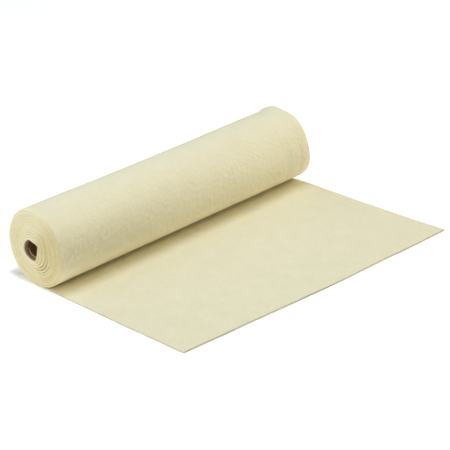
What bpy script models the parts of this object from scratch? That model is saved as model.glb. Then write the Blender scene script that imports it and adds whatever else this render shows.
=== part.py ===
"""A roll of thick felt on a cardboard core, with its loose end laid out flat.

Run with Blender 4.5. Units are metres and +Z is up. The roll lies along X, its loose
end runs towards -Y, and the origin is on the floor under the middle of the whole part.
"""
from collections import namedtuple
from math import cos, pi, sin

import bmesh
import bpy
import numpy as np
from mathutils import Vector

# Cardboard core; its near end stands out of the loose end's near side
CORE_BORE_RADIUS = 0.0122
CORE_WALL = 0.0018
CORE_LENGTH = 0.490
CORE_STANDS_OUT = 0.0045
CORE_RADIUS = CORE_BORE_RADIUS + CORE_WALL
CORE_COLOUR = (0.24, 0.14, 0.075)
CORE_ROUGHNESS = 0.85

# Felt strip; the roll's waist is how much slimmer it is in the middle than at its ends
FELT_WIDTH = 0.494
FELT_THICKNESS = 0.0031
AIR_BETWEEN_TURNS = 0.0004
PITCH = FELT_THICKNESS + AIR_BETWEEN_TURNS
TURNS = 11.65
FACETS_PER_TURN = 36
ROLL_RADIUS = CORE_RADIUS + AIR_BETWEEN_TURNS + FELT_THICKNESS + PITCH * TURNS
WAIST = 0.0009
FELT_COLOUR = (0.77, 0.73, 0.53)
FELT_ROUGHNESS = 0.95

# Loose end: its length at the near and at the far selvedge, and how it spreads there
LOOSE_NEAR = 0.289
LOOSE_FAR = 0.311
LOOSE_BOW = 0.0025
LOOSE_SPREAD = 0.0050
LOOSE_ROWS = 7

# The turns have slipped sideways as they were wound, so the near end stands out in steps
Slip = namedtuple("Slip", "turns_in stands_out")
SLIPS = (
    Slip(0.0, 0.0000),
    Slip(0.9, 0.0016),
    Slip(1.9, 0.0028),
    Slip(3.0, 0.0034),
    Slip(5.5, 0.0042),
    Slip(8.6, 0.0052),
    Slip(9.7, 0.0080),
    Slip(10.6, 0.0090),
    Slip(TURNS, 0.0096),
)

# Across the strip: the near selvedge, the middle and the far selvedge
ACROSS = (0.0, 0.5, 1.0)

# The lowest facet of the outer turn lies on the floor, a small flat spot under the roll
HALF_FACET = 0.5 / FACETS_PER_TURN
AXIS_HEIGHT = (ROLL_RADIUS - PITCH * HALF_FACET) * cos(2 * pi * HALF_FACET)

# Edges that turn by more than this stay crisp
CRISP_EDGE = pi / 5


def crown(across):
    """A gentle arch across the strip: 0 at both selvedges and 1 in the middle."""
    return 4 * across * (1 - across)


def stands_out(turns_in):
    """How far the near selvedge stands out of the roll's end, so many turns in."""
    return float(np.interp(turns_in, [s.turns_in for s in SLIPS], [s.stands_out for s in SLIPS]))


def loose_point(along, across):
    """A point under the loose end. along goes from 0 at its cut edge to 1 under the roll."""
    length = LOOSE_NEAR + (LOOSE_FAR - LOOSE_NEAR) * across
    length += LOOSE_BOW * crown(across)
    width = FELT_WIDTH + 2 * LOOSE_SPREAD * (1 - along)
    return Vector((width * (across - 0.5), -length * (1 - along), 0.0))


def wound_point(turns_in, across):
    """A point on the outer face of the wound strip, so many turns in from the floor."""
    radius = ROLL_RADIUS - PITCH * turns_in
    radius -= WAIST * crown(across) * (1 - turns_in / TURNS) * min(turns_in, 1.0)
    angle = 2 * pi * turns_in
    x = FELT_WIDTH * (across - 0.5) - stands_out(turns_in)
    return Vector((x, radius * sin(angle), AXIS_HEIGHT - radius * cos(angle)))


def strip_rows():
    """Rows of points across the strip, from the cut edge to the end on the core."""
    for row in range(LOOSE_ROWS):
        yield [loose_point(row / LOOSE_ROWS, across) for across in ACROSS]
    for facet in range(int(TURNS * FACETS_PER_TURN)):
        yield [wound_point(HALF_FACET + facet / FACETS_PER_TURN, across) for across in ACROSS]


def new_material(name, colour, roughness):
    """A plain finish of one colour."""
    material = bpy.data.materials.new(name)
    material.use_nodes = True
    shader = material.node_tree.nodes["Principled BSDF"]
    shader.inputs["Base Color"].default_value = (*colour, 1.0)
    shader.inputs["Roughness"].default_value = roughness
    shader.inputs["Metallic"].default_value = 0.0
    return material


def new_object(name, bm, material):
    """An object that holds the finished mesh."""
    mesh = bpy.data.meshes.new(name)
    bm.to_mesh(mesh)
    bm.free()
    mesh.materials.append(material)
    mesh.shade_smooth()
    mesh.set_sharp_from_angle(angle=CRISP_EDGE)
    part = bpy.data.objects.new(name, mesh)
    bpy.context.scene.collection.objects.link(part)
    return part


def thicken(part, thickness):
    """Give a sheet its thickness on its inner side."""
    wall = part.modifiers.new("thickness", "SOLIDIFY")
    wall.thickness = thickness
    wall.offset = -1.0
    wall.use_even_offset = True
    wall.use_rim = True


def make_felt():
    """The strip of felt: its cut edge is extruded along the floor and round the roll."""
    bm = bmesh.new()
    rows = strip_rows()
    edge = [bm.verts.new(point) for point in next(rows)]
    for start, end in zip(edge, edge[1:]):
        bm.edges.new((start, end))
    for row in rows:
        edges = [bm.edges.get(pair) for pair in zip(edge, edge[1:])]
        grown = bmesh.ops.extrude_edge_only(bm, edges=edges)["geom"]
        edge = sorted((v for v in grown if isinstance(v, bmesh.types.BMVert)), key=lambda v: v.co.x)
        for vert, point in zip(edge, row):
            vert.co = point
    bm.normal_update()
    if bm.faces[:][0].normal.z > 0:
        bmesh.ops.reverse_faces(bm, faces=bm.faces[:])
    felt = new_object("felt", bm, new_material("cream_felt", FELT_COLOUR, FELT_ROUGHNESS))
    thicken(felt, FELT_THICKNESS)
    return felt


def make_core():
    """The cardboard tube, along the roll's axis and set back inside both ends."""
    bm = bmesh.new()
    bmesh.ops.create_cone(bm, segments=FACETS_PER_TURN, radius1=CORE_RADIUS, radius2=CORE_RADIUS,
                          depth=CORE_LENGTH, cap_ends=False)
    core = new_object("core", bm, new_material("brown_cardboard", CORE_COLOUR, CORE_ROUGHNESS))
    thicken(core, CORE_WALL)
    near_end = -FELT_WIDTH / 2 - CORE_STANDS_OUT
    core.rotation_euler = (0.0, pi / 2, 0.0)
    core.location = (near_end + CORE_LENGTH / 2, 0.0, AXIS_HEIGHT)
    return core


def centre_on_origin(parts):
    """Bring the middle of the whole part's footprint over the origin."""
    points = [point for rows in strip_rows() for point in rows]
    lowest = [min(point[axis] for point in points) for axis in range(2)]
    highest = [max(point[axis] for point in points) for axis in range(2)]
    for part in parts:
        part.location.x -= (lowest[0] + highest[0]) / 2
        part.location.y -= (lowest[1] + highest[1]) / 2


def main():
    for old in list(bpy.data.objects):
        bpy.data.objects.remove(old, do_unlink=True)
    centre_on_origin([make_felt(), make_core()])


main()
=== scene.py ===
"""A roll of thick cream felt on a cardboard core, its loose end laid out on a pale floor."""

from collections import namedtuple
from math import cos, degrees, pi, radians, sin, tau

import bmesh
import bpy
from mathutils import Matrix, Vector, noise


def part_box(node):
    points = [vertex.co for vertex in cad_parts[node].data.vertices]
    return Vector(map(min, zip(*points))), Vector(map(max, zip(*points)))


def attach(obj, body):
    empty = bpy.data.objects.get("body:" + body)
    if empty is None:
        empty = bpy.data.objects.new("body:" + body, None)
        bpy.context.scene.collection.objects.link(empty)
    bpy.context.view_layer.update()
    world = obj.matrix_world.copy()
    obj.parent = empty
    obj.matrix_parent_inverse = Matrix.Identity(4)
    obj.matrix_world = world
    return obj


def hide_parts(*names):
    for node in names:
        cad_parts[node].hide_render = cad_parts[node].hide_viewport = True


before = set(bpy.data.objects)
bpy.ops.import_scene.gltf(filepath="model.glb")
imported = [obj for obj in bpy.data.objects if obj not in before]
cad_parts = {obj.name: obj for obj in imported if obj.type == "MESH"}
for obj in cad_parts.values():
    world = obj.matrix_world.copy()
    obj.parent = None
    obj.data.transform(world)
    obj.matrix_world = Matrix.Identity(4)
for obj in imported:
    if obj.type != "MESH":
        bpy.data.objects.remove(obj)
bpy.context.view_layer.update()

# Where the CAD part lies
core_low, core_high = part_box("core")
_, felt_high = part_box("felt")
AXIS_Y = (core_low.y + core_high.y) / 2
AXIS_Z = (core_low.z + core_high.z) / 2

# Cardboard core; its near end is cut a little short
CORE_RADIUS = (core_high.z - core_low.z) / 2
CORE_WALL = 0.0018
CORE_CUT_SHORT = 0.0022
CORE_LENGTH = core_high.x - core_low.x - CORE_CUT_SHORT
CORE_MIDDLE_X = core_high.x - CORE_LENGTH / 2
CORE_SIDES = 96
CORE_EDGE_ROUND = 0.0003
CORE_CRISP_EDGE = radians(60)

# Felt strip, as the CAD part has it, with its air gap mostly closed
FELT_WIDTH = 0.494
FELT_THICKNESS = 0.00343
LOOSE_THICKNESS = 0.0027
THICKENS_OVER_TURNS = 0.3
PITCH = 0.0035
TURNS = 11.65
ROLL_RADIUS = CORE_RADIUS + PITCH * (TURNS + 1)
FLAT_DEPTH = ROLL_RADIUS - AXIS_Z
WAIST = 0.0021

# The strip's inner end is pared down over this part of a turn
PARED_AWAY = 0.70
PARED_OVER_TURNS = 0.09

# Loose end: its length at both selvedges, and how its cut edge and near side bow out
LOOSE_NEAR = 0.289
LOOSE_FAR = 0.311
LOOSE_BOW = 0.0039
NEAR_BOW = 0.0015
LOOSE_SPREAD = 0.0050
ROLL_MIDDLE_X = felt_high.x - FELT_WIDTH / 2 - LOOSE_SPREAD

# It lies in low waves. Rises and falls run from where a wave has faded out to where it is
# full, as distances in front of the roll's axis
WAVE_LIFT = 0.0005
WAVE_SIZE = (0.09, 0.07)
WAVE_BIAS = 0.1
WAVE_RISES = (0.0, 0.06)
EDGE_LIFT = 0.0005
EDGE_WAVE_SIZE = 0.06
EDGE_ZONE = 0.035
EDGE_RISES = (0.02, 0.08)
FAR_LIFT = 0.0012
FAR_LIFT_ZONE = 0.050
FAR_RISES = (0.02, 0.06)
FAR_FALLS = (0.16, 0.08)

# How finely the strip is divided
LOOSE_ROWS = 64
OUTER_ROWS_PER_TURN = 96
INNER_ROWS_PER_TURN = 64
OUTER_TURNS = 1.25
MIDDLE_COLUMNS = 10
NEAR_STEPS = (0.0010, 0.0026, 0.0050, 0.0085, 0.0130, 0.0190, 0.0280)
FAR_STEPS = (0.0010, 0.0026, *(0.0048 + 0.0024 * k for k in range(15)), 0.0440, 0.0520)
MERGE_WITHIN = 1e-6

# The strip's cut edges are soft: their corners are rounded by this radius
EDGE_ROUND = 0.0005
ROUND_STEPS = 2

# The cut edges wander, in a slow wave and a quick one each
Wander = namedtuple("Wander", "seed height length")
NEAR_WANDERS = (Wander(1, 0.00030, 0.045), Wander(2, 0.00018, 0.014))
FAR_WANDERS = (Wander(3, 0.00040, 0.050), Wander(4, 0.00018, 0.014))
CUT_WANDERS = (Wander(5, 0.00050, 0.050), Wander(6, 0.00020, 0.012))
SELVEDGE_ZONE = 0.020
CUT_ZONE = 0.12

# The turns have slipped sideways as they were wound, so the near end stands out in its
# middle, and one turn has slipped back a little
Slip = namedtuple("Slip", "turns_in stands_out")
SLIPS = (
    Slip(0.0, 0.0000),
    Slip(0.9, 0.0016),
    Slip(1.9, 0.0028),
    Slip(3.0, 0.0034),
    Slip(5.5, 0.0042),
    Slip(7.45, 0.0046),
    Slip(7.62, 0.0038),
    Slip(7.90, 0.0037),
    Slip(8.10, 0.0046),
    Slip(8.65, 0.0051),
    Slip(9.65, 0.0067),
    Slip(10.6, 0.0084),
    Slip(TURNS, 0.0094),
)

# The cut face of each turn leans by this share of the slip to the next turn
SELVEDGE_SLANT = 0.7

# How loose or tight the turns lie, as a share of the cloth's thickness
Slack = namedtuple("Slack", "degrees share")
SLACKS = (
    Slack(0, 0.00),
    Slack(90, 0.02),
    Slack(215, 0.02),
    Slack(235, 0.04),
    Slack(265, 0.04),
    Slack(285, -0.03),
    Slack(335, -0.03),
    Slack(350, 0.00),
    Slack(360, 0.00),
)

# The outer turns are a little out of round. Degrees run from the floor over the rear
Press = namedtuple("Press", "degrees inward")
PRESSES = (
    Press(0, 0.0000),
    Press(30, -0.0004),
    Press(50, -0.0006),
    Press(66, 0.0006),
    Press(78, 0.0018),
    Press(92, 0.0014),
    Press(117, 0.0026),
    Press(134, 0.0009),
    Press(150, -0.0003),
    Press(190, -0.0005),
    Press(205, -0.0006),
    Press(220, 0.0003),
    Press(236, 0.0010),
    Press(251, 0.0014),
    Press(265, 0.0006),
    Press(278, -0.0010),
    Press(289, -0.0024),
    Press(301, -0.0026),
    Press(318, -0.0026),
    Press(335, -0.0024),
    Press(350, -0.0006),
    Press(360, 0.0000),
)

# The outer turns are lumpy too, but not where they lie on the floor
LUMP = 0.0004
LUMPS_ALONG = 6
LUMPS_ROUND = 1.3
LUMP_RISES = (0.0, 0.1)

# The far selvedge has slipped along the roll as the loose end was pulled off it
Reach = namedtuple("Reach", "turns_in outward")
REACHES = (
    Reach(-1.00, 0.0000),
    Reach(0.00, 0.0000),
    Reach(0.30, -0.0020),
    Reach(0.46, -0.0036),
    Reach(0.48, -0.0044),
    Reach(0.52, -0.0040),
    Reach(0.54, -0.0020),
    Reach(0.58, 0.0000),
    Reach(0.65, 0.0016),
    Reach(0.75, 0.0018),
    Reach(0.79, 0.0024),
    Reach(0.83, 0.0040),
    Reach(0.86, 0.0066),
    Reach(0.92, 0.0076),
    Reach(1.05, 0.0045),
    Reach(1.25, 0.0015),
    Reach(1.50, 0.0000),
    Reach(TURNS, 0.0000),
)
REACH_FADES_OVER = 0.090

# The inner turns aren't round. Starting at the strip's inner end and going round with
# the winding, this is how far they are drawn in from an even spiral at the near end
Pull = namedtuple("Pull", "round_from_end inward")
PULLS = (
    Pull(0.00, -0.0004),
    Pull(0.03, 0.0020),
    Pull(0.06, 0.0036),
    Pull(0.10, 0.0044),
    Pull(0.14, 0.0046),
    Pull(0.18, 0.0042),
    Pull(0.22, 0.0028),
    Pull(0.26, 0.0013),
    Pull(0.29, 0.0011),
    Pull(0.33, 0.0016),
    Pull(0.38, 0.0023),
    Pull(0.45, 0.0024),
    Pull(0.60, 0.0014),
    Pull(0.71, 0.0010),
    Pull(0.81, -0.0004),
    Pull(0.89, 0.0000),
    Pull(0.95, -0.0002),
    Pull(1.00, -0.0004),
)
PULL_BEGINS = 5.6
PULL_FULL = 10.0
CORE_SET_BACK = 0.0050

# Near the far selvedge the outer turn bulges over the top with a dip beside the bulge,
# curls in and has faint creases. A zone runs from where a form has faded out to where it
# is full, as distances from the selvedge. An arc has a start, an end and a soft run, in
# degrees
SHOULDER_WIDTH = 0.060
SHOULDER_LEFT_PER_TURN = 0.3
BULGE = 0.0019
BULGE_ZONE = (0.015, 0.006)
BULGE_ARC = (120, 165, 30)
DIP = 0.0012
DIP_INNER_ZONE = (0.050, 0.028)
DIP_OUTER_ZONE = (0.008, 0.018)
DIP_ARC = (110, 220, 40)
CURL = 0.0013
CURL_WIDTH = 0.0110
CURL_ARC = (195, 245, 30)
CREASE_HEIGHT = 0.0006
CREASE_STARTS = 0.0056
CREASE_PITCH = 0.024
CREASE_INNER_ZONE = (0.060, 0.046)
CREASE_OUTER_ZONE = (0.0, 0.006)
CREASE_ARC = (260, 300, 12)
# Painted shade in the creases
CREASE_SHADE = 0.40

# How deep the tone of the cut edge is, from 0 to 1: deeper in front, which is painted shade,
# and in the turn that has slipped back, painted shade in its dip; paler on top, which is painted
# light, and in the outer turn; and not the same in each turn. A pair of turns runs from where a
# change has faded out to where it is full
EDGE_TONE = 0.50
EDGE_FRONT_SHADE = 0.36
EDGE_FRONT_SHADE_ARC = (235, 312, 50)
EDGE_TOP_LIGHT = 0.25
EDGE_TOP_LIGHT_ARC = (150, 200, 40)
EDGE_OUTER = 0.3
EDGE_OUTER_TURNS = (0.9, 0.5)
EDGE_SLIPPED_SHADE = 0.45
SLIPPED_FROM = (7.45, 7.65)
SLIPPED_TO = (8.05, 7.85)
EDGE_VARIES = 0.16
EDGE_VARIES_PER_TURN = 0.9

# Painted shade on the loose end's cut faces, more towards their top
SELVEDGE_SHADE = 0.65
EDGE_SHADE_DEPTHS = (-0.5, 1.0)

# Painted shade on the last turn's inner side, inside the core, except at the very edge
BORE_SHADE_TURNS = 1.02
BORE_SHADE_FADE = 0.0045

# Smooth noise: its gain, how far apart the places of two seeds lie, and the seeds in use
RIPPLE_GAIN = 1.6
SEED_STEPS = (17.3, 5.1, 9.7)
WAVE_SEED = 7
EDGE_WAVE_SEED = 8
LUMP_SEED = 9
TONE_SEED = 10


def between(table, key):
    """Read a short table of (key, value) rows, straight between its rows."""
    for (low_key, low), (high_key, high) in zip(table, table[1:]):
        if key <= high_key:
            return low + (high - low) * (key - low_key) / (high_key - low_key)
    return table[-1][1]


def ease(low, high, value):
    """A soft step: 0 at low and beyond it, 1 at high and beyond it."""
    part = min(max((value - low) / (high - low), 0.0), 1.0)
    return part * part * (3 - 2 * part)


def arc(start, end, soft, angle):
    """1 where an angle lies between two angles in degrees, with soft ends, and 0 elsewhere."""
    round_by = degrees(angle)
    return ease(start - soft, start, round_by) * (1 - ease(end, end + soft, round_by))


def crown(across):
    """A gentle arch across the strip: 0 at both selvedges and 1 in the middle."""
    return 4 * across * (1 - across)


def ripple(seed, *place):
    """Smooth unevenness between about -1 and 1, the same in every run."""
    spot = (*place, 0.0, 0.0)[:3]
    return RIPPLE_GAIN * noise.noise(Vector(spot) + Vector([seed * step for step in SEED_STEPS]))


def wander(waves, travel):
    """How far a cut edge strays, so far along it."""
    return sum(wave.height * ripple(wave.seed, travel / wave.length) for wave in waves)


# Camera

CAMERA_PLACE = Vector((-1.7484, -1.7517, 1.1954))
CAMERA_YAW = radians(44.84)
CAMERA_PITCH = radians(24.94)
CAMERA_ROLL = radians(-1.95)
CAMERA_LENS = 155.7


def make_camera():
    """The camera at the photo's place: it looks down on the roll's near end and front."""
    ahead = cos(CAMERA_PITCH)
    forward = Vector((sin(CAMERA_YAW) * ahead, cos(CAMERA_YAW) * ahead, -sin(CAMERA_PITCH)))
    level = Vector((cos(CAMERA_YAW), -sin(CAMERA_YAW), 0.0))
    upright = level.cross(forward)
    right = level * cos(CAMERA_ROLL) + upright * sin(CAMERA_ROLL)
    up = upright * cos(CAMERA_ROLL) - level * sin(CAMERA_ROLL)
    turned = Matrix((right, up, -forward)).transposed().to_4x4()
    camera = bpy.data.objects.new("camera", bpy.data.cameras.new("camera"))
    camera.matrix_world = Matrix.Translation(CAMERA_PLACE) @ turned
    camera.data.lens = CAMERA_LENS
    bpy.context.scene.collection.objects.link(camera)
    bpy.context.scene.camera = camera


# Materials

class Amount:
    """A number that varies over a surface, to be used in plain sums."""

    def __init__(self, finish, socket):
        self.finish = finish
        self.socket = socket

    def worked(self, operation, first, second):
        """The result of one operation on two amounts."""
        return self.finish.node("ShaderNodeMath", {"operation": operation}, {0: first, 1: second})

    def __add__(self, other):
        return self.worked("ADD", self, other)

    def __radd__(self, other):
        return self.worked("ADD", other, self)

    def __sub__(self, other):
        return self.worked("SUBTRACT", self, other)

    def __rsub__(self, other):
        return self.worked("SUBTRACT", other, self)

    def __mul__(self, other):
        return self.worked("MULTIPLY", self, other)

    def __rmul__(self, other):
        return self.worked("MULTIPLY", other, self)

    def __truediv__(self, other):
        return self.worked("DIVIDE", self, other)

    def __rtruediv__(self, other):
        return self.worked("DIVIDE", other, self)

    def __pow__(self, other):
        return self.worked("POWER", self, other)

    def __rpow__(self, other):
        return self.worked("POWER", other, self)

    def __abs__(self):
        return self.worked("ABSOLUTE", self, 0.0)


class Finish:
    """A material and the nodes that lead to its Principled shader."""

    def __init__(self, name, **constants):
        self.material = bpy.data.materials.new(name)
        self.material.use_nodes = True
        self.tree = self.material.node_tree
        self.shader = self.tree.nodes["Principled BSDF"]
        for socket, value in constants.items():
            self.shader.inputs[socket.replace("_", " ")].default_value = value
        self.place = self.node("ShaderNodeTexCoord", {}, {}, "Object")

    def node(self, kind, settings, inputs, output=0):
        """A node of that kind: its settings first, then its sockets' values or links."""
        made = self.tree.nodes.new(kind)
        for name, value in settings.items():
            setattr(made, name, value)
        for socket, value in inputs.items():
            self.feed(made.inputs[socket], value)
        return Amount(self, made.outputs[output])

    def feed(self, socket, value):
        """Link a socket, or give it a fixed value."""
        if isinstance(value, Amount):
            self.tree.links.new(value.socket, socket)
        else:
            socket.default_value = value

    def colour_by(self, colour):
        """Use a colour that varies over the surface as the base colour."""
        self.feed(self.shader.inputs["Base Color"], colour)

    def stretched(self, scale, turned=(0.0, 0.0, 0.0)):
        """The place on the piece, turned and then stretched."""
        turned_place = self.node("ShaderNodeMapping", {}, {"Vector": self.place, "Rotation": turned})
        return self.node("ShaderNodeMapping", {}, {"Vector": turned_place, "Scale": scale})

    def mottle(self, size, detail=3.0, rough=0.5, place=None):
        """Cloudy noise whose blotches are about that size in metres, from 0 to 1."""
        return self.node("ShaderNodeTexNoise", {},
                         {"Vector": place or self.place, "Scale": 1 / size, "Detail": detail,
                          "Roughness": rough})

    def ramp(self, value, start, end):
        """0 where the value is at start, rising evenly to 1 where it is at end."""
        return self.node("ShaderNodeMapRange", {}, {0: value, 1: start, 2: end})

    def place_parts(self):
        """The three coordinates of the place on the piece."""
        return [self.node("ShaderNodeSeparateXYZ", {}, {0: self.place}, k) for k in range(3)]

    def marked(self, name):
        """An attribute of the mesh, as an amount."""
        return self.node("ShaderNodeAttribute", {"attribute_name": name}, {}, "Fac")

    def blend(self, amount, first, second):
        """A colour between two colours."""
        colours = [(*c, 1.0) if isinstance(c, tuple) else c for c in (first, second)]
        return self.node("ShaderNodeMix", {"data_type": "RGBA"},
                         {0: amount, 6: colours[0], 7: colours[1]}, 2)

    def greater(self, first, second):
        """The greater of two amounts."""
        return self.node("ShaderNodeMath", {"operation": "MAXIMUM"}, {0: first, 1: second})

    def raise_by(self, height, distance, strength):
        """Raise the surface by a height from 0 to 1 times a distance in metres."""
        bump = self.node("ShaderNodeBump", {},
                         {"Height": height, "Distance": distance, "Strength": strength})
        self.feed(self.shader.inputs["Normal"], bump)


# Felt's tones
FELT_LIGHT = (0.848, 0.817, 0.600)
FELT_SHADE = (0.779, 0.743, 0.514)
FELT_WARM = (0.837, 0.794, 0.572)
# The cut edge's tone, which also carries painted shade and painted light
FELT_CUT_AND_SHADE = (0.615, 0.530, 0.270)
# Painted shade on the loose end's cut faces
FELT_EDGE_SHADE = (0.430, 0.415, 0.345)
# Painted shade inside the bore
FELT_BORE_SHADE = (0.33, 0.200, 0.085)
# Painted shade, on the roll's front and in the far creases
FELT_PAINTED_SHADE = (0.650, 0.615, 0.410)
# Painted light under the roll's belly
FELT_PAINTED_LIGHT = (0.930, 0.860, 0.620)
# Marks on the felt: painted shade in the far creases, the cut edge's tone with painted shade and
# light, painted shade on the loose end's cut faces and inside the bore
MARKS = (("crease", FELT_PAINTED_SHADE), ("cut", FELT_CUT_AND_SHADE), ("edge_shade", FELT_EDGE_SHADE), ("bore_shade", FELT_BORE_SHADE))

# Felt's grain: fibres in several lays, tufts, clouds and lumps
FIBRE_LENGTH = 0.0090
FIBRE_WIDTH = 0.0011
FIBRE_LAYS = ((0.3, 0.1, 0.2), (0.2, 0.5, 1.3), (-0.4, 0.2, 2.2), (0.6, -0.3, 2.9), (-0.2, 0.8, 0.8))
FIBRE_SPREAD = 0.13
FIBRE_SHARPNESS = 7
TUFT_SIZE = 0.0032
CLOUD_SIZE = 0.030
DRIFT_SIZE = 0.085
LUMP_SIZE = 0.0062
LIGHT_TONES = (0.32, 0.78)
WARM_TONES = (0.40, 0.70)
WARM_MOST = 0.45
FELT_RELIEF = 0.0038
FELT_RELIEF_STRENGTH = 0.6

# Painted shade on the roll's front, at half height mostly at the near end, and at the far end. A
# pair runs from where that fades out to where it is full
PAINTED_SHADE_ALONG = (0.15, -0.25)
PAINTED_SHADE_FADE = 1.5
PAINTED_SHADE_FRONT = (AXIS_Y - 0.030, AXIS_Y - 0.050)
PAINTED_SHADE_HEIGHT = 0.063
PAINTED_SHADE_LEVEL = (0.038, 0.005)
PAINTED_SHADE_BLOTCH = 0.0050
PAINTED_SHADE_CONTRAST = 1.9
PAINTED_SHADE_CLEARED = 0.05
FAR_PAINTED_SHADE = 0.25
FAR_PAINTED_SHADE_ALONG = (0.15, 0.23)
OFF_FLOOR = (0.004, 0.007)
# Painted light low in front, under the roll's belly
BELLY_FRONT = (AXIS_Y - 0.016, AXIS_Y - 0.030)
BELLY_HEIGHT = (0.044, 0.018)


def painted_shade_amount(felt, along, depth, height):
    """Painted shade in front: at half height, mostly at the near end, and at the far end."""
    near = felt.ramp(along, *PAINTED_SHADE_ALONG) ** PAINTED_SHADE_FADE
    front = felt.ramp(depth, *PAINTED_SHADE_FRONT)
    level = felt.ramp(abs(height - PAINTED_SHADE_HEIGHT), *PAINTED_SHADE_LEVEL)
    blotches = PAINTED_SHADE_CONTRAST * felt.mottle(PAINTED_SHADE_BLOTCH, 2.0) - PAINTED_SHADE_CLEARED
    far = FAR_PAINTED_SHADE * felt.ramp(along, *FAR_PAINTED_SHADE_ALONG) * felt.ramp(height, *OFF_FLOOR)
    return front * (near * level * blotches + far)


def painted_light_amount(felt, depth, height):
    """Painted light low in front, under the roll's belly."""
    front = felt.ramp(depth, *BELLY_FRONT)
    return front * felt.ramp(height, *BELLY_HEIGHT) * felt.ramp(height, *OFF_FLOOR)


def felt_fibres(felt):
    """Fine ridges that lie every way: 1 along a fibre's crest and less beside it."""
    fibres = None
    for index, lay in enumerate(FIBRE_LAYS):
        place = felt.stretched((1 / FIBRE_LENGTH, 1 / FIBRE_WIDTH, 1 / FIBRE_WIDTH), lay)
        streak = felt.node("ShaderNodeTexNoise", {},
                           {"Vector": place, "Scale": 1.0 + FIBRE_SPREAD * index, "Detail": 2.0,
                            "Roughness": 0.6, "Distortion": 0.6})
        ridge = 1 - abs(streak - 0.5) * FIBRE_SHARPNESS
        fibres = ridge if fibres is None else felt.greater(fibres, ridge)
    return fibres


def felt_finish():
    """Needled felt: matted fibres that lie every way, in soft cream blotches."""
    felt = Finish("cream felt", Roughness=0.95, Sheen_Weight=0.18, Sheen_Roughness=0.6,
                  Sheen_Tint=(1.0, 0.96, 0.85, 1.0), Specular_IOR_Level=0.15)
    fibres = felt_fibres(felt)
    tufts = felt.mottle(TUFT_SIZE, 4.0, 0.6)
    clouds = felt.mottle(CLOUD_SIZE, 2.0)
    drift = felt.mottle(DRIFT_SIZE, 2.0)
    tone = 0.34 * tufts + 0.42 * clouds + 0.20 * fibres + 0.04
    cream = felt.blend(felt.ramp(tone, *LIGHT_TONES), FELT_SHADE, FELT_LIGHT)
    cream = felt.blend(WARM_MOST * felt.ramp(drift, *WARM_TONES), cream, FELT_WARM)
    along, depth, height = felt.place_parts()
    # Painted shade on the roll's front
    cream = felt.blend(painted_shade_amount(felt, along, depth, height), cream, FELT_PAINTED_SHADE)
    # Painted light under the roll's belly
    cream = felt.blend(painted_light_amount(felt, depth, height), cream, FELT_PAINTED_LIGHT)
    for name, colour in MARKS:
        cream = felt.blend(felt.marked(name), cream, colour)
    felt.colour_by(cream)
    lumps = felt.mottle(LUMP_SIZE, 1.0)
    felt.raise_by(0.88 * lumps + 0.12 * fibres, FELT_RELIEF, FELT_RELIEF_STRENGTH)
    return felt.material


# Board's tones and grain
CARD_LIGHT = (0.20, 0.100, 0.048)
CARD_DARK = (0.11, 0.050, 0.022)
CARD_LIT_CUT = (0.58, 0.41, 0.26)
PLY_PITCH = 0.052
PLIES_BEFORE = 40
SEAM_WIDTH = 0.0007
FLECK_SIZE = 0.0016
FLECK_STRETCH = (1.0, 3.0, 3.0)
CARD_CLOUD_SIZE = 0.014
CARD_TONES = (0.30, 0.68)
CARD_RELIEF = 0.0004
CARD_RELIEF_STRENGTH = 0.7

# Painted light on its cut end below and painted shade near its ends above. A pair runs from fading
# out to full
CARD_LIT_END = (0.0010, 0.0003)
CARD_LIT_HEIGHT = (AXIS_Z - 0.002, AXIS_Z - 0.008)
CARD_SHADE_END = (0.0060, 0.0010)
CARD_SHADE_HEIGHT = (AXIS_Z - 0.007, AXIS_Z - 0.001)
CARD_SHADE_MOST = 0.8


def card_finish():
    """Brown paper board, wound from strips: a seam runs round it and fibres lie along it."""
    card = Finish("brown board", Roughness=0.85, Specular_IOR_Level=0.25)
    along, side, height = card.place_parts()
    angle = card.node("ShaderNodeMath", {"operation": "ARCTAN2"},
                      {0: side - AXIS_Y, 1: height - AXIS_Z})
    ply = along / PLY_PITCH + angle / tau
    across_ply = card.node("ShaderNodeMath", {"operation": "FRACT"}, {0: ply + PLIES_BEFORE})
    seam = card.ramp(across_ply, SEAM_WIDTH / PLY_PITCH, 0.0)
    flecks = card.mottle(FLECK_SIZE, 3.0, 0.65, card.stretched(FLECK_STRETCH))
    clouds = card.mottle(CARD_CLOUD_SIZE)
    tone = 0.6 * flecks + 0.4 * clouds - 0.5 * seam
    brown = card.blend(card.ramp(tone, *CARD_TONES), CARD_DARK, CARD_LIGHT)
    # Painted shade near the ends above, painted light on the cut end below
    from_end = CORE_LENGTH / 2 - abs(along - CORE_MIDDLE_X)
    dark = CARD_SHADE_MOST * card.ramp(from_end, *CARD_SHADE_END) * card.ramp(height, *CARD_SHADE_HEIGHT)
    pale = card.ramp(from_end, *CARD_LIT_END) * card.ramp(height, *CARD_LIT_HEIGHT)
    card.colour_by(card.blend(pale, card.blend(dark, brown, CARD_DARK), CARD_LIT_CUT))
    card.raise_by(0.5 * flecks - seam, CARD_RELIEF, CARD_RELIEF_STRENGTH)
    return card.material


# The floor's glow, and the patch under the roll that has none and a warmer colour: a painted shadow
FLOOR_PALE = (0.985, 0.985, 0.985)
FLOOR_PALEST = (0.995, 0.995, 0.995)
FLOOR_SHADOW_TINT = (0.985, 0.945, 0.905)
FLOOR_CLOUD_SIZE = 0.6
FLOOR_GLOW = 0.38
GLOW_FULL = 0.013
BLACK = (0.0, 0.0, 0.0)
WHITE = (1.0, 1.0, 1.0)
UNDER_LENGTH = 0.479
UNDER_WIDTH = 0.119
UNDER_MIDDLE_Y = AXIS_Y + 0.0035


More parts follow.
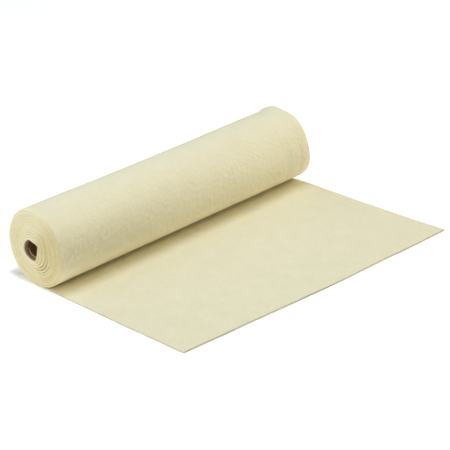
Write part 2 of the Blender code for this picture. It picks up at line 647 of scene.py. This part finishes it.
def floor_finish():
    """A plain pale floor that glows a little, but not under the roll, where a painted shadow is
    left.
    """
    floor = Finish("pale floor", Roughness=0.9, Specular_IOR_Level=0.1, Emission_Strength=FLOOR_GLOW)
    along, side, _ = floor.place_parts()
    past_end = floor.greater(abs(along - ROLL_MIDDLE_X) - UNDER_LENGTH / 2, 0.0)
    beside = floor.greater(abs(side - UNDER_MIDDLE_Y) - UNDER_WIDTH / 2, 0.0)
    glow = floor.ramp((past_end * past_end + beside * beside) ** 0.5, 0.0, GLOW_FULL)
    floor.feed(floor.shader.inputs["Emission Color"], floor.blend(glow, BLACK, WHITE))
    pale = floor.blend(floor.mottle(FLOOR_CLOUD_SIZE), FLOOR_PALE, FLOOR_PALEST)
    # Under the roll the floor takes a warmer colour, a painted shadow
    floor.colour_by(floor.blend(glow, FLOOR_SHADOW_TINT, pale))
    return floor.material


# Pieces

def new_piece(name, bm, material):
    """A finished mesh as an object at the origin."""
    mesh = bpy.data.meshes.new(name)
    bm.to_mesh(mesh)
    bm.free()
    mesh.materials.append(material)
    mesh.shade_smooth()
    piece = bpy.data.objects.new(name, mesh)
    bpy.context.scene.collection.objects.link(piece)
    return piece


# The felt

def quarter_round():
    """Angles from 0 to a right angle, for a rounded corner."""
    return [k * pi / 2 / ROUND_STEPS for k in range(ROUND_STEPS + 1)]


def strip_profile():
    """Points round the strip's cut: (distance from the near selvedge, depth in the cloth)."""
    near = [EDGE_ROUND + step for step in NEAR_STEPS]
    far = [FELT_WIDTH - EDGE_ROUND - step for step in reversed(FAR_STEPS)]
    gap = (far[0] - near[-1]) / (MIDDLE_COLUMNS + 1)
    middle = [near[-1] + gap * k for k in range(1, MIDDLE_COLUMNS + 1)]
    face = [(d, 0.0) for d in (*near, *middle, *far)]
    face_end = FELT_WIDTH - EDGE_ROUND
    far_rim = [(face_end + EDGE_ROUND * sin(a), EDGE_ROUND * (1 - cos(a))) for a in quarter_round()]
    near_rim = [(FELT_WIDTH - d, depth) for d, depth in far_rim]
    outside = [*reversed(near_rim), *face, *far_rim]
    inside = [(d, FELT_THICKNESS - depth) for d, depth in reversed(outside)]
    return [*outside, *inside, outside[0]]


def strip_rows():
    """Rows along the strip: (turns in, plumpness). Turns are under 0 on the loose end."""
    flat = 1 - 2 * EDGE_ROUND / FELT_THICKNESS
    ends = [(0.0, 0.0), (0.0, flat)]
    for angle in quarter_round()[1:]:
        ends.append((EDGE_ROUND * (1 - cos(angle)), flat + (1 - flat) * sin(angle)))
    loose = [(k / LOOSE_ROWS - 1, 1.0) for k in range(1, LOOSE_ROWS)]
    outer_rows = int(OUTER_TURNS * OUTER_ROWS_PER_TURN)
    outer = [(k / OUTER_ROWS_PER_TURN, 1.0) for k in range(outer_rows)]
    inner_rows = int((TURNS - OUTER_TURNS) * INNER_ROWS_PER_TURN)
    inner = [(OUTER_TURNS + k / INNER_ROWS_PER_TURN, 1.0) for k in range(inner_rows)]
    inner_round = tau * (CORE_RADIUS + FELT_THICKNESS)
    cut = [(back / LOOSE_NEAR - 1, plump) for back, plump in ends]
    tail = [(TURNS - back / inner_round, plump) for back, plump in reversed(ends)]
    return [*cut, *loose, *outer, *inner, *tail]


def thickness_at(turns_in):
    """The cloth is pressed thinner where it lies loose, and pared down at the core."""
    wound = ease(0.0, THICKENS_OVER_TURNS, turns_in)
    thickness = LOOSE_THICKNESS + (FELT_THICKNESS - LOOSE_THICKNESS) * wound
    thickness *= 1 - between(SLACKS, 360 * (turns_in % 1))
    return thickness * (1 - PARED_AWAY * ease(TURNS - PARED_OVER_TURNS, TURNS, turns_in))


def travel_at(turns_in):
    """Length of cloth from the cut edge to a point on the strip."""
    if turns_in < 0:
        return LOOSE_NEAR * (1 + turns_in)
    return LOOSE_NEAR + tau * (ROLL_RADIUS * turns_in - PITCH * turns_in ** 2 / 2)


def flat_length():
    """Length of the cloth before it was wound, along the middle of its thickness."""
    loose = (LOOSE_NEAR + LOOSE_FAR) / 2
    return loose + travel_at(TURNS) - LOOSE_NEAR - tau * TURNS * FELT_THICKNESS / 2


def selvedge_shift(turns_in, from_near):
    """How far a point moves sideways because the selvedges wander."""
    travel = travel_at(turns_in)
    near_part = max(0.0, 1 - from_near / SELVEDGE_ZONE)
    far_part = max(0.0, 1 - (FELT_WIDTH - from_near) / SELVEDGE_ZONE)
    return wander(NEAR_WANDERS, travel) * near_part + wander(FAR_WANDERS, travel) * far_part


def reach_at(turns_in, from_far):
    """How far a point has slipped outwards with the far selvedge."""
    return between(REACHES, turns_in) * ease(REACH_FADES_OVER, 0.0, from_far)


def loose_lift(x, y, from_far, from_edge):
    """How far the loose end stands off the floor: in low waves, more at its edges."""
    wave = ripple(WAVE_SEED, x / WAVE_SIZE[0], y / WAVE_SIZE[1]) + WAVE_BIAS
    lift = WAVE_LIFT * max(0.0, wave) * ease(*WAVE_RISES, -y)
    edge_wave = ripple(EDGE_WAVE_SEED, x / EDGE_WAVE_SIZE, y / EDGE_WAVE_SIZE)
    edge_part = ease(EDGE_ZONE, 0.0, from_edge) * ease(*EDGE_RISES, -y)
    lift += EDGE_LIFT * max(0.0, edge_wave) * edge_part
    far_part = ease(*FAR_RISES, -y) * ease(*FAR_FALLS, -y)
    return lift + FAR_LIFT * ease(FAR_LIFT_ZONE, 0.0, from_far) * far_part


def loose_point(turns_in, from_near, depth):
    """A point of the loose end, which lies on the floor."""
    across = from_near / FELT_WIDTH
    from_far = FELT_WIDTH - from_near
    length = LOOSE_NEAR + (LOOSE_FAR - LOOSE_NEAR) * across + LOOSE_BOW * crown(across)
    length += wander(CUT_WANDERS, from_near) * ease(CUT_ZONE, 0.0, 1 + turns_in)
    width = FELT_WIDTH - 2 * LOOSE_SPREAD * turns_in
    x = width * (across - 0.5) + selvedge_shift(turns_in, from_near)
    x -= NEAR_BOW * crown(-turns_in) * (1 - across)
    y = length * turns_in
    from_end = -y if turns_in > -0.5 else length + y
    lift = loose_lift(x, y, from_far, min(from_near, from_far, from_end))
    return Vector((ROLL_MIDDLE_X + x, AXIS_Y + y, lift + depth))


def inward_pull(turns_in, from_near):
    """How far the inner turns are drawn in from an even spiral."""
    weight = ease(PULL_BEGINS, PULL_FULL, turns_in)
    if weight == 0:
        return 0.0
    round_from_end = (turns_in - TURNS) % 1
    pull = between(PULLS, round_from_end)
    room = PITCH * (1 - round_from_end)
    over_core = ease(0.0, CORE_SET_BACK, from_near)
    return weight * (pull + (min(pull, room) - pull) * over_core)


def crease_wave(from_far, angle):
    """Faint creases near the far selvedge, in front: 1 on a ridge and -1 in a crease."""
    reach = ease(*CREASE_INNER_ZONE, from_far) * ease(*CREASE_OUTER_ZONE, from_far)
    wave = cos(tau * (from_far - CREASE_STARTS) / CREASE_PITCH)
    return reach * arc(*CREASE_ARC, angle) * wave


def far_shoulder(turns_in, from_far, angle):
    """How far the cloth near the far selvedge stands out of an even roll."""
    if from_far > SHOULDER_WIDTH:
        return 0.0
    shape = BULGE * ease(*BULGE_ZONE, from_far) * arc(*BULGE_ARC, angle)
    dip_zone = ease(*DIP_INNER_ZONE, from_far) * ease(*DIP_OUTER_ZONE, from_far)
    shape -= DIP * dip_zone * arc(*DIP_ARC, angle)
    shape += CREASE_HEIGHT * crease_wave(from_far, angle)
    curl = CURL * max(0.0, 1 - from_far / CURL_WIDTH) ** 2 * arc(*CURL_ARC, angle)
    return shape * SHOULDER_LEFT_PER_TURN ** turns_in - curl * (1 - turns_in / TURNS)


def radius_at(turns_in, from_near, angle):
    """The wound cloth's outer radius, with all that makes it uneven."""
    across = from_near / FELT_WIDTH
    outermost = 1 - turns_in / TURNS
    spot = (across * LUMPS_ALONG, cos(angle) * LUMPS_ROUND, sin(angle) * LUMPS_ROUND)
    uneven = LUMP * ripple(LUMP_SEED, *spot)
    uneven *= ease(*LUMP_RISES, 1 - abs(cos(angle / 2)))
    uneven -= WAIST * crown(across) * (1 - cos(angle)) / 2
    uneven -= between(PRESSES, degrees(angle))
    even = ROLL_RADIUS - PITCH * turns_in
    shoulder = far_shoulder(turns_in, FELT_WIDTH - from_near, angle)
    return even + uneven * outermost + shoulder - inward_pull(turns_in, from_near)


def wound_point(turns_in, from_near, depth):
    """A point of the wound cloth."""
    angle = tau * (turns_in % 1)
    radius = radius_at(turns_in, from_near, angle)
    pressed = max(0.0, radius * cos(angle) - (radius - FLAT_DEPTH))
    x = from_near - FELT_WIDTH / 2 - between(SLIPS, turns_in + SELVEDGE_SLANT * depth / PITCH)
    x += selvedge_shift(turns_in, from_near) + reach_at(turns_in, FELT_WIDTH - from_near)
    y = (radius - depth) * sin(angle)
    z = pressed - (radius - depth) * cos(angle)
    return Vector((ROLL_MIDDLE_X + x, AXIS_Y + y, AXIS_Z + z))


def cut_tone_and_shade(turns_in):
    """How deep the cut edge's tone is there, from 0 to 1, with painted shade in front and in the
    slipped turn and painted light on top.
    """
    angle = tau * (turns_in % 1)
    tone = EDGE_TONE + EDGE_VARIES * ripple(TONE_SEED, turns_in * EDGE_VARIES_PER_TURN)
    # Painted shade in front, painted light on top and painted shade in the slipped turn
    tone += EDGE_FRONT_SHADE * arc(*EDGE_FRONT_SHADE_ARC, angle)
    tone -= EDGE_TOP_LIGHT * arc(*EDGE_TOP_LIGHT_ARC, angle)
    tone -= EDGE_OUTER * ease(*EDGE_OUTER_TURNS, turns_in)
    tone += EDGE_SLIPPED_SHADE * ease(*SLIPPED_FROM, turns_in) * ease(*SLIPPED_TO, turns_in)
    return min(max(tone, 0.0), 1.0)


def marks_at(turns_in, plump, from_near, depth):
    """How strong the marks at a point of the strip are, by name. Any other mark is 0 there."""
    marks = {}
    selvedge = min(from_near, FELT_WIDTH - from_near) < EDGE_ROUND
    if 0 < turns_in < 1:
        wave = crease_wave(FELT_WIDTH - from_near, tau * turns_in)
        # Painted shade in the creases
        marks["crease"] = CREASE_SHADE * max(0.0, -wave) ** 2
    if turns_in > 0 and (selvedge or plump < 1):
        marks["cut"] = cut_tone_and_shade(turns_in)
    # Painted shade on the loose end's cut faces
    if turns_in <= 0:
        edge_shade = 1.0 if plump < 1 else SELVEDGE_SHADE * selvedge
        marks["edge_shade"] = edge_shade * ease(*EDGE_SHADE_DEPTHS, depth / FELT_THICKNESS)
    # Painted shade on the last turn's inner side, inside the bore
    if turns_in > TURNS - BORE_SHADE_TURNS and depth > FELT_THICKNESS / 2:
        marks["bore_shade"] = ease(0.0, BORE_SHADE_FADE, from_near)
    return marks


def make_felt(material):
    """The felt strip: a flat grid, folded into a closed sheet and then laid and wound."""
    rows = strip_rows()
    profile = strip_profile()
    bm = bmesh.new()
    bmesh.ops.create_grid(bm, x_segments=len(profile) - 1, y_segments=len(rows) - 1, size=1.0)
    layers = {name: bm.verts.layers.float.new(name) for name, _ in MARKS}
    middle = FELT_THICKNESS / 2
    for vert in bm.verts:
        from_near, depth = profile[round((vert.co.x + 1) / 2 * (len(profile) - 1))]
        turns_in, plump = rows[round((vert.co.y + 1) / 2 * (len(rows) - 1))]
        for name, amount in marks_at(turns_in, plump, from_near, depth).items():
            vert[layers[name]] = amount
        thin = thickness_at(turns_in) / FELT_THICKNESS
        depth = (middle + (depth - middle) * plump) * thin
        lay = loose_point if turns_in < 0 else wound_point
        vert.co = lay(turns_in, from_near, depth)
    bmesh.ops.remove_doubles(bm, verts=bm.verts[:], dist=MERGE_WITHIN)
    bmesh.ops.recalc_face_normals(bm, faces=bm.faces[:])
    return new_piece("felt_strip", bm, material)


# The core

def make_core(material):
    """The cardboard tube."""
    bm = bmesh.new()
    bmesh.ops.create_cone(bm, segments=CORE_SIDES, radius1=CORE_RADIUS, radius2=CORE_RADIUS,
                          depth=CORE_LENGTH, cap_ends=False)
    bmesh.ops.rotate(bm, verts=bm.verts[:], matrix=Matrix.Rotation(pi / 2, 3, "Y"))
    bmesh.ops.translate(bm, verts=bm.verts[:], vec=(CORE_MIDDLE_X, AXIS_Y, AXIS_Z))
    tube = new_piece("card_core", bm, material)
    wall = tube.modifiers.new("wall", "SOLIDIFY")
    wall.thickness = CORE_WALL
    wall.offset = -1.0
    wall.use_even_offset = True
    rim = tube.modifiers.new("rim", "BEVEL")
    rim.width = CORE_EDGE_ROUND
    rim.segments = 2
    rim.limit_method = "ANGLE"
    rim.angle_limit = CORE_CRISP_EDGE
    return tube


# Floor and light

FLOOR_SIZE = 14.0


def make_floor():
    """The floor, which isn't part of the roll."""
    bm = bmesh.new()
    bmesh.ops.create_grid(bm, x_segments=1, y_segments=1, size=FLOOR_SIZE / 2)
    floor = new_piece("floor", bm, floor_finish())


# Soft boxes all round the roll, cool from above and behind and warm from low in front
COOL = (0.783, 0.872, 1.0)
WARM = (1.0, 0.855, 0.65)
SoftBox = namedtuple("SoftBox", "name place size power colour")
SOFT_BOXES = (
    SoftBox("top_box", (0.0, 0.0, 1.7), 0.8, 14.7, COOL),
    SoftBox("upper_left_box", (-1.2, 0.1, 1.4), 0.8, 3.2, COOL),
    SoftBox("rear_left_box", (-1.0, 0.9, 1.2), 0.8, 5.2, COOL),
    SoftBox("rear_box", (0.0, 2.61, 1.5), 1.4, 12.4, COOL),
    SoftBox("front_right_box", (1.3, -1.0, 0.35), 0.8, 7.2, WARM),
    SoftBox("right_box", (1.7, 0.0, 0.5), 0.8, 6.6, WARM),
    SoftBox("left_box", (-1.7, 0.1, 0.4), 0.8, 7.6, WARM),
    SoftBox("front_box", (0.0, -1.5, 2.61), 1.4, 22.4, WARM),
)
LIGHT_AIM = Vector((0.0, 0.0, 0.03))
ROOM_LIGHT = 0.05


def make_area_light(box):
    """A soft box that faces the roll and doesn't show itself."""
    light = bpy.data.objects.new(box.name, bpy.data.lights.new(box.name, "AREA"))
    light.data.size = box.size
    light.data.energy = box.power
    light.data.color = box.colour
    light.location = box.place
    light.rotation_euler = (LIGHT_AIM - light.location).to_track_quat("-Z", "Y").to_euler()
    light.visible_camera = False
    bpy.context.scene.collection.objects.link(light)


def make_world():
    """An even white room light."""
    world = bpy.data.worlds.new("room")
    world.use_nodes = True
    light = world.node_tree.nodes["Background"]
    light.inputs["Color"].default_value = (*WHITE, 1.0)
    light.inputs["Strength"].default_value = ROOM_LIGHT
    bpy.context.scene.world = world


def main():
    """Set up the view, then make, place and name the two pieces."""
    make_camera()
    bpy.context.scene.view_settings.view_transform = "Standard"
    make_floor()
    make_world()
    for box in SOFT_BOXES:
        make_area_light(box)

    felt = make_felt(felt_finish())
    core = make_core(card_finish())
    for piece, node in ((felt, "felt"), (core, "core")):
        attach(piece, "root")
        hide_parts(node)
    flat_length()


main()
